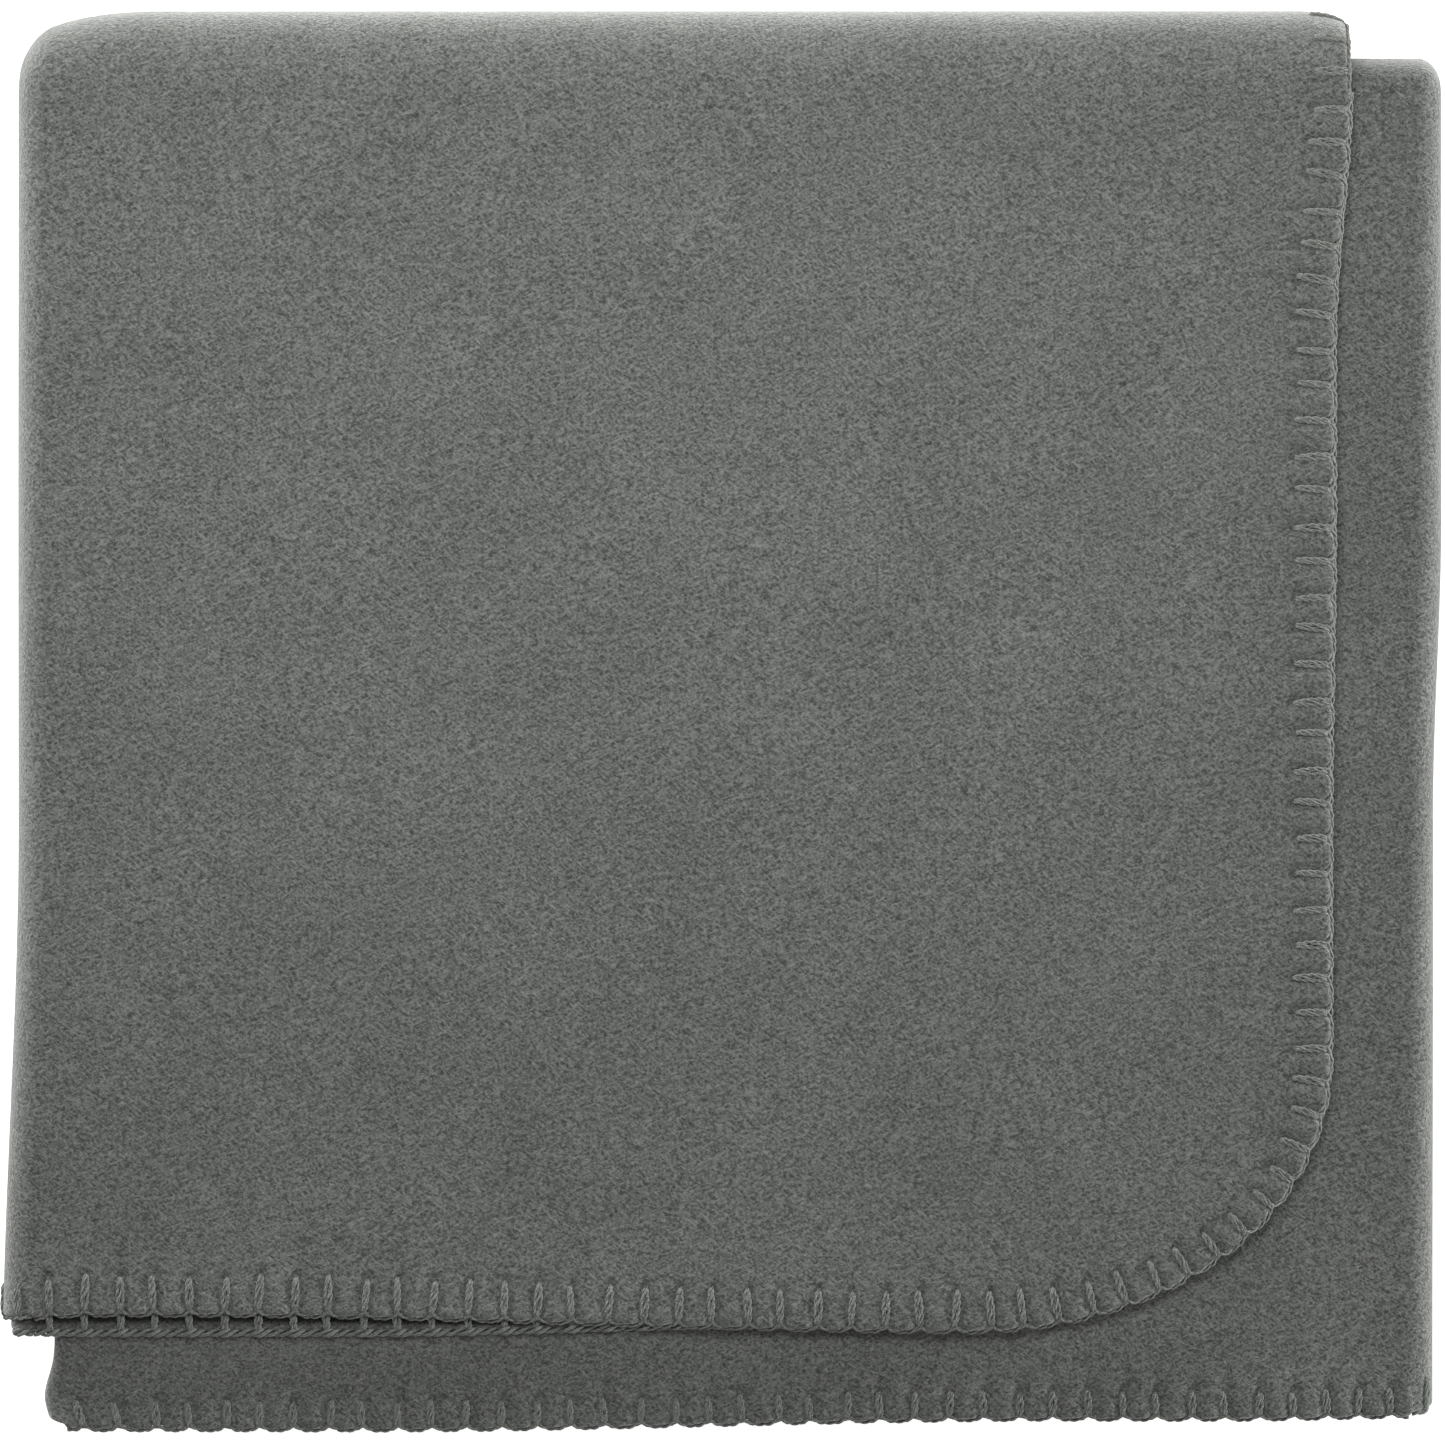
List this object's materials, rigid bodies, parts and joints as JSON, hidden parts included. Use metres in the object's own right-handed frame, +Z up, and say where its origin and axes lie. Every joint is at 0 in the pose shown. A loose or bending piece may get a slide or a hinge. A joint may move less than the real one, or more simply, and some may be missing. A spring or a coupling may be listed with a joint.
{
  "type": "folded throw blanket",
  "caption": "Fleece throw with a whip-stitched edge and rounded corners, folded into a flat square packet whose upper half turns over about its top fold.",
  "frame": {"origin": "middle of the folded packet's footprint, on the surface that it rests on", "axes": "+Z up through the plies, +X towards the fold at the right of the middle flap, +Y towards the top fold"},
  "size_m": [0.4002, 0.3972, 0.038],
  "materials": {
    "fleece": "brushed fleece, matt",
    "edge_yarn": "twisted thick yarn, matt"
  },
  "bodies": {
    "lower_half": {"lower_half_cloth": "fleece", "lower_half_flap_yarn": "edge_yarn", "lower_half_tucked_yarn": "edge_yarn", "top_fold_face_ply": "fleece", "top_fold_face_flap_yarn": "edge_yarn", "top_fold_face_tucked_yarn": "edge_yarn", "top_fold_inner_ply": "fleece", "top_fold_inner_flap_yarn": "edge_yarn", "top_fold_inner_tucked_yarn": "edge_yarn"},
    "upper_half": {"upper_half_face_ply": "fleece", "upper_half_inner_ply": "fleece", "upper_half_face_yarn": "edge_yarn", "upper_half_inner_yarn": "edge_yarn"}
  },
  "joints": [
    {"name": "top_fold_hinge", "type": "hinge", "parent": "lower_half", "child": "upper_half", "pos_m": [0, 0.17625, 0.01825], "axis": [-1, 0, 0], "range_deg": [0, 180], "deforming": ["top_fold_face_ply", "top_fold_face_flap_yarn", "top_fold_face_tucked_yarn", "top_fold_inner_ply", "top_fold_inner_flap_yarn", "top_fold_inner_tucked_yarn"]}
  ]
}
